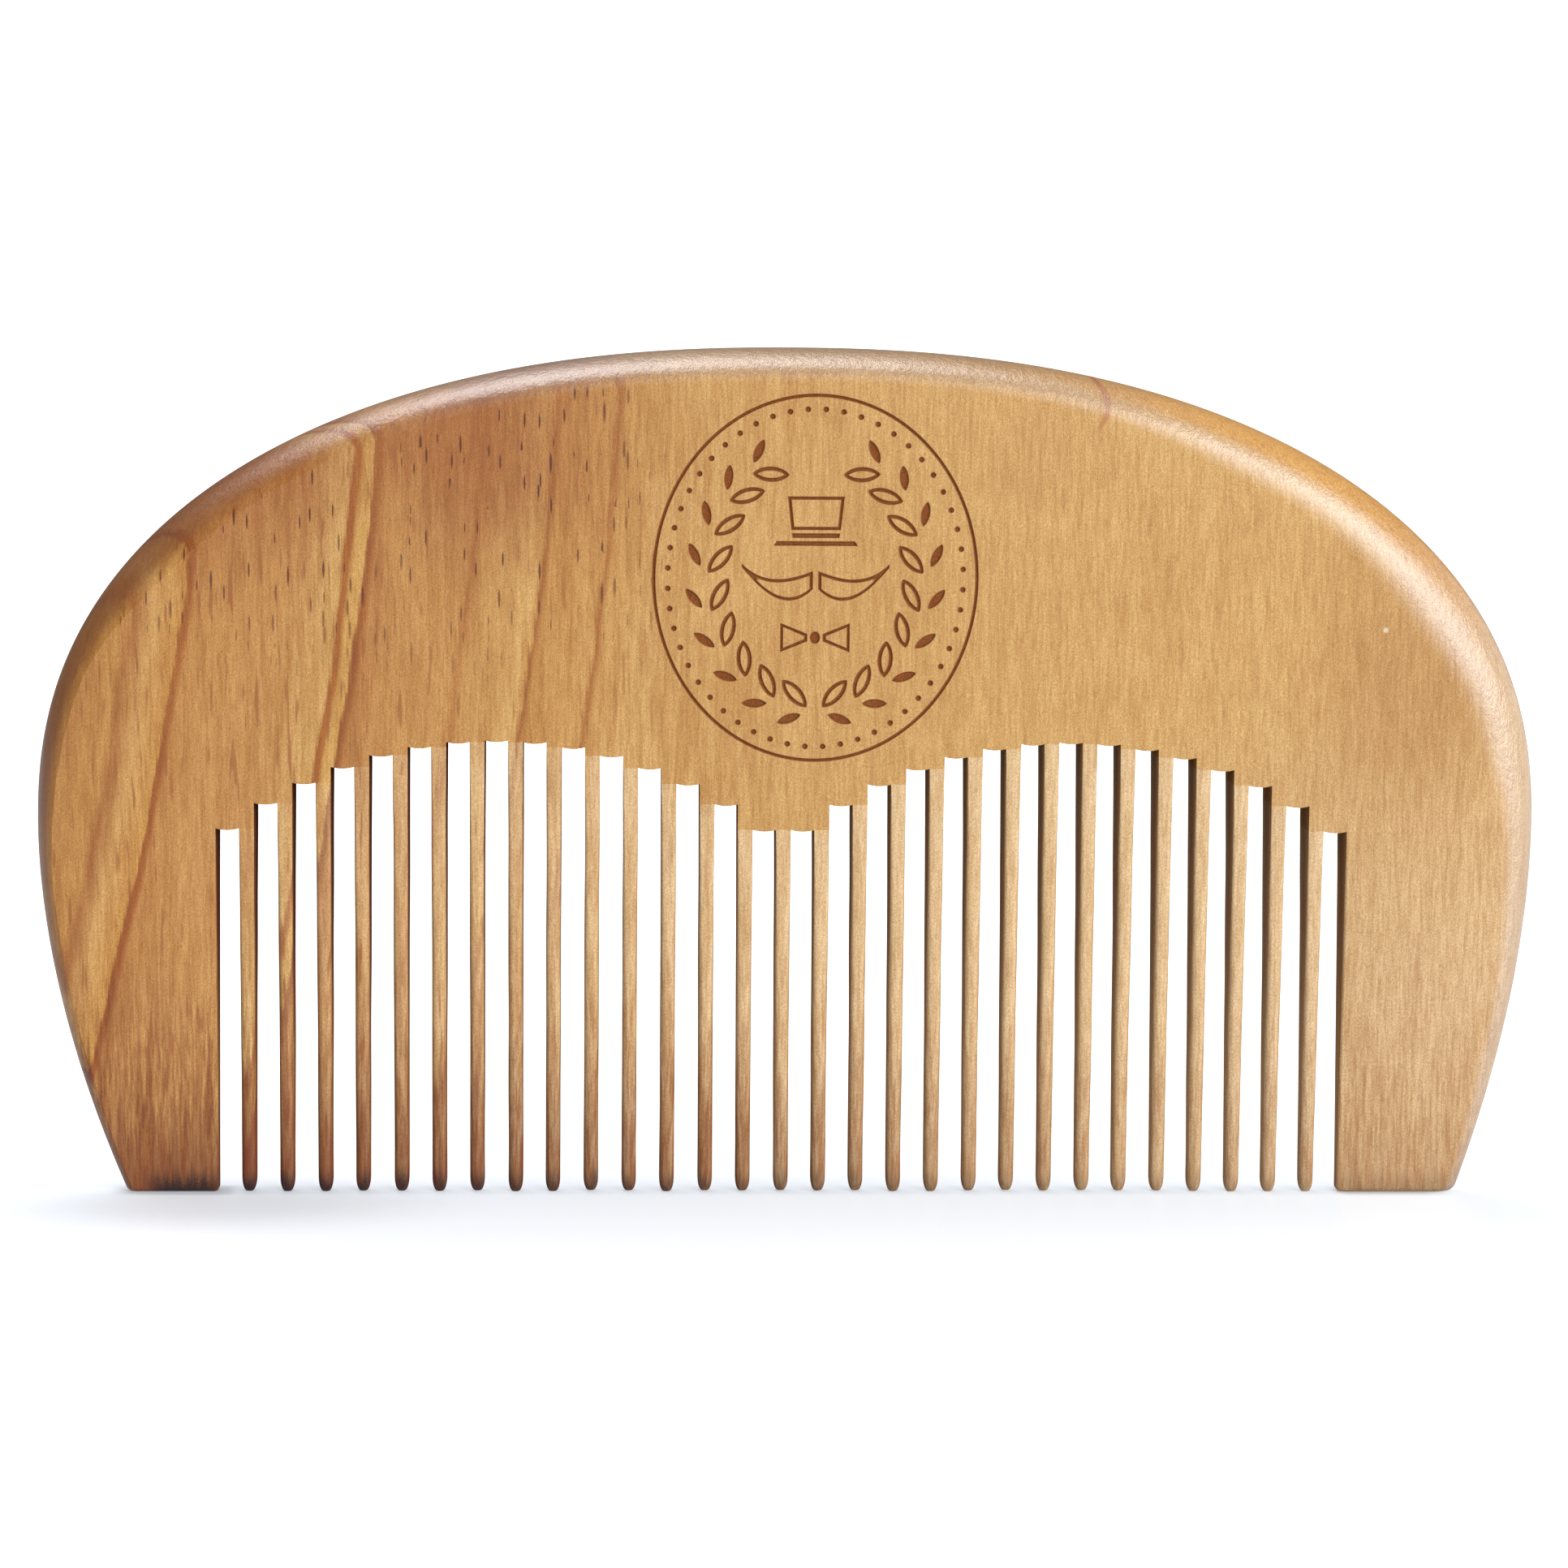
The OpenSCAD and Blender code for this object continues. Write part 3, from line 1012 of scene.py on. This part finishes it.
    def marks(self):
        """A thin brown line over the crown and a small pale nick, both on the right."""
        rise = self.math("SUBTRACT", self.z, CROWN_LINE_Z)
        bend = self.math("MULTIPLY_ADD", self.times(rise, rise), CROWN_LINE_BEND, self.x)
        off = self.math("ABSOLUTE", self.math("SUBTRACT", bend, CROWN_LINE_X))
        line = self.times(self.ease(off, 0.32, 0.08), self.ease(self.z, 53.4, 55.2))
        self.tint(self.times(line, 0.75), CROWN_LINE)
        away = self.away(self.at, NICK_AT)
        self.tint(self.times(self.ease(away, 0.26, 0.1), 0.7), NICK)

    def worked_surfaces(self):
        """Painted shade in the slots and on the worn edge at the left, the worn edge with its oiled right
        shoulder, and the burnt engraving.
        """
        # Painted shade in the slots, stronger higher up towards their ends
        deep = self.math("MULTIPLY_ADD", self.ease(self.z, 3.0, 20.0), 0.45, 0.45)
        self.tint(self.times(self.cut, deep), PAINTED_SLOT_SHADE)
        # Painted shade on the worn edge at the left, where little light falls
        left = self.times(self.ease(self.x, -28.0, -45.0), self.ease(self.z, 6.0, 30.0))
        self.tint(self.times(self.edge, left, 0.68), LEFT_EDGE_SHADE)
        rightward = self.math("MULTIPLY_ADD", self.ease(self.x, 34.0, 12.0), 0.6, 0.4)
        crown = self.times(self.ease(self.x, -36.0, -12.0), rightward)
        self.vary(self.times(self.edge, crown), PLAIN, EDGE_TONE)
        half = self.math("MULTIPLY_ADD", self.z, FACE_SLOPE, TIP_THICKNESS / 2)
        level = self.math("DIVIDE", self.math("ABSOLUTE", self.y), half)
        shoulder = self.times(self.ease(self.x, 2.0, 32.0), self.ease(self.z, 36.0, 48.0))
        self.oiled = self.times(self.ease(level, 0.9, 0.68), shoulder)
        self.vary(self.oiled, PLAIN, SHOULDER_TONE)
        scorched = self.mix(self.ease(self.grain, 0.35, 0.65), srgb(*SCORCHED_DARK), srgb(*SCORCHED_LIGHT))
        self.colour = self.mix(self.times(self.burn, 0.92), self.colour, scorched)

    def finish(self):
        """Satin faces, with the rounded edges rubbed to a shine."""
        tone = self.mix(1.0, self.colour, WOOD_TONE, "MULTIPLY")
        self.link(tone, self.shader.inputs["Base Color"])
        rough = self.math("MULTIPLY_ADD", self.fine, ROUGHER_GRAIN, ROUGHNESS)
        rough = self.math("MULTIPLY_ADD", self.edge, -SMOOTHER_EDGE, rough)
        shaded = self.math("MINIMUM", self.times(self.cut, 2.5), 1.0)
        self.link(self.math("MULTIPLY_ADD", shaded, ROUGHER_CUT, rough), self.shader.inputs["Roughness"])
        bare = self.math("SUBTRACT", 1.0, self.math("MAXIMUM", shaded, self.burn))
        self.link(self.times(bare, GLOSS), self.shader.inputs["Specular IOR Level"])
        polished = self.math("MULTIPLY_ADD", self.ease(self.x, -42.0, -18.0), 0.85, 0.15)
        matt = self.math("MULTIPLY_ADD", self.oiled, -0.5, 1.0)
        self.link(self.times(self.edge, polished, matt), self.shader.inputs["Coat Weight"])
        self.shader.inputs["Coat Roughness"].default_value = COAT_ROUGHNESS
        self.shader.inputs["Coat IOR"].default_value = COAT_IOR
        grain = self.bump(self.math("MULTIPLY_ADD", self.fine, 1.3, self.grain), 0.5, 0.03 * MM)
        self.link(grain, self.shader.inputs["Normal"])
        uneven = self.noise(self.scaled(self.at, (2.2, 2.2, 1.4)), 3.0, 0.7)
        self.link(self.bump(uneven, 0.6, 0.2 * MM, grain), self.shader.inputs["Coat Normal"])


def floor_material():
    """Pale floor that glows a little, so that it stays near white and keeps only faint shadows, with less
    glow near the comb as a faint painted shade, and painted shadows by the left foot and along the line
    where the comb stands.
    """
    n = Nodes("pale_floor")
    place = n.tree.nodes.new("ShaderNodeTexCoord").outputs["Object"]
    cloud = n.noise(n.scaled(place, (40.0, 40.0, 40.0)))
    shade = n.mix(cloud, (0.48, 0.51, 0.56, 1.0), (0.5, 0.53, 0.575, 1.0))
    n.link(shade, n.shader.inputs["Base Color"])
    n.shader.inputs["Roughness"].default_value = 0.45
    n.shader.inputs["Specular IOR Level"].default_value = 0.3
    n.shader.inputs["Emission Color"].default_value = (0.9, 0.95, 1.0, 1.0)
    # Less glow near the comb: a faint painted shade in front of it, where the real shadows also show
    near = n.away(place, Vector(FLOOR_NEAR_AT) * MM, (0.24, 1.0, 1.0))
    glow = n.math("MULTIPLY_ADD", n.ease(near, 9 * MM, 34 * MM), FLOOR_GLOW_FAR - FLOOR_GLOW, FLOOR_GLOW)
    # Painted shadow round the left foot
    foot = n.away(place, Vector(FOOT_SHADE_AT) * MM, (0.6, 1.0, 1.0))
    glow = n.math("SUBTRACT", glow, n.times(n.ease(foot, 13 * MM, 2 * MM), FOOT_SHADE))
    x, y, _ = n.axes(place)
    # Painted contact shadow along the line where the feet and teeth stand
    along = n.math("ABSOLUTE", x)
    touch = n.ease(n.math("ABSOLUTE", y), 2.2 * MM, 0.8 * MM)
    share = n.math("MULTIPLY_ADD", n.ease(along, 38.5 * MM, 40 * MM), 0.75, 0.25)
    touch = n.times(touch, share, n.ease(along, 48 * MM, 45 * MM))
    glow = n.math("SUBTRACT", glow, n.times(touch, CONTACT_SHADE))
    seen = n.tree.nodes.new("ShaderNodeLightPath").outputs["Is Camera Ray"]
    glow = n.math("MAXIMUM", n.times(glow, seen), FLOOR_BOUNCE)
    n.link(glow, n.shader.inputs["Emission Strength"])
    return n.material


# ---------------------------------------------------------------- the scene

def make_floor():
    """A wide round floor at the height of the tooth tips."""
    turns = [2 * math.pi * s / FLOOR_STEPS for s in range(FLOOR_STEPS)]
    points = [(FLOOR_RADIUS * math.cos(t), FLOOR_RADIUS * math.sin(t), 0.0) for t in turns]
    floor = mesh_piece("floor", points, [tuple(range(FLOOR_STEPS))])
    floor.data.materials.append(floor_material())


def make_camera():
    """In front of the comb, a little left of its middle and just above its crown."""
    place = Vector(CAMERA_PLACE) * MM
    yaw, pitch, roll = (math.radians(a) for a in CAMERA_TURN)
    ahead = Vector((math.sin(yaw) * math.cos(pitch), math.cos(yaw) * math.cos(pitch), -math.sin(pitch)))
    level = Vector((math.cos(yaw), -math.sin(yaw), 0.0))
    upright = level.cross(ahead)
    right = level * math.cos(roll) + upright * math.sin(roll)
    up = -level * math.sin(roll) + upright * math.cos(roll)
    data = bpy.data.cameras.new("camera")
    data.sensor_width = SENSOR_WIDTH
    data.lens = LENS
    data.clip_start = 0.01
    data.clip_end = 20.0
    camera = bpy.data.objects.new("camera", data)
    turn = Matrix((right, up, -ahead)).transposed()
    camera.matrix_world = Matrix.Translation(place) @ turn.to_4x4()
    bpy.context.scene.collection.objects.link(camera)
    bpy.context.scene.camera = camera


def make_sun(name, towards, strength, spread, colour):
    """A soft distant light that shines from the direction given."""
    data = bpy.data.lights.new(name, "SUN")
    data.energy = strength
    data.angle = math.radians(spread)
    data.color = colour
    light = bpy.data.objects.new(name, data)
    light.rotation_euler = Vector(towards).to_track_quat("Z", "Y").to_euler()
    bpy.context.scene.collection.objects.link(light)


def make_world():
    """White to the eye, and a dim fill on the comb."""
    world = bpy.data.worlds.new("studio")
    world.use_nodes = True
    bpy.context.scene.world = world
    tree = world.node_tree
    fill = tree.nodes["Background"]
    fill.inputs["Color"].default_value = (1.0, 0.97, 0.94, 1.0)
    fill.inputs["Strength"].default_value = WORLD_FILL
    seen = tree.nodes.new("ShaderNodeBackground")
    seen.inputs["Strength"].default_value = WORLD_SEEN
    seen.inputs["Color"].default_value = (1.0, 1.0, 1.0, 1.0)
    path = tree.nodes.new("ShaderNodeLightPath")
    mix = tree.nodes.new("ShaderNodeMixShader")
    tree.links.new(path.outputs["Is Camera Ray"], mix.inputs[0])
    tree.links.new(fill.outputs[0], mix.inputs[1])
    tree.links.new(seen.outputs[0], mix.inputs[2])
    tree.links.new(mix.outputs[0], tree.nodes["World Output"].inputs["Surface"])


def finish_piece(piece, node, material):
    piece.data.materials.append(material)
    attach(piece, "root")
    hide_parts(node)


make_camera()
make_world()
for sun in SUNS:
    make_sun(*sun)
make_floor()

body_wood = Wood("body_wood", paleness=0.0, stain_height=7.0).material
tooth_wood = Wood("tooth_wood", paleness=0.6, stain_height=12.0).material
comb_slots = slots()
finish_piece(make_back(comb_slots), "back", body_wood)
finish_piece(make_guard(-1, comb_slots), "guard_left", body_wood)
finish_piece(make_guard(1, comb_slots), "guard_right", body_wood)
tooth_dice = random.Random(SEED)
for tooth_node in TEETH:
    finish_piece(make_tooth(tooth_node, tooth_dice), tooth_node, tooth_wood)

bpy.context.scene.view_settings.view_transform = "Standard"
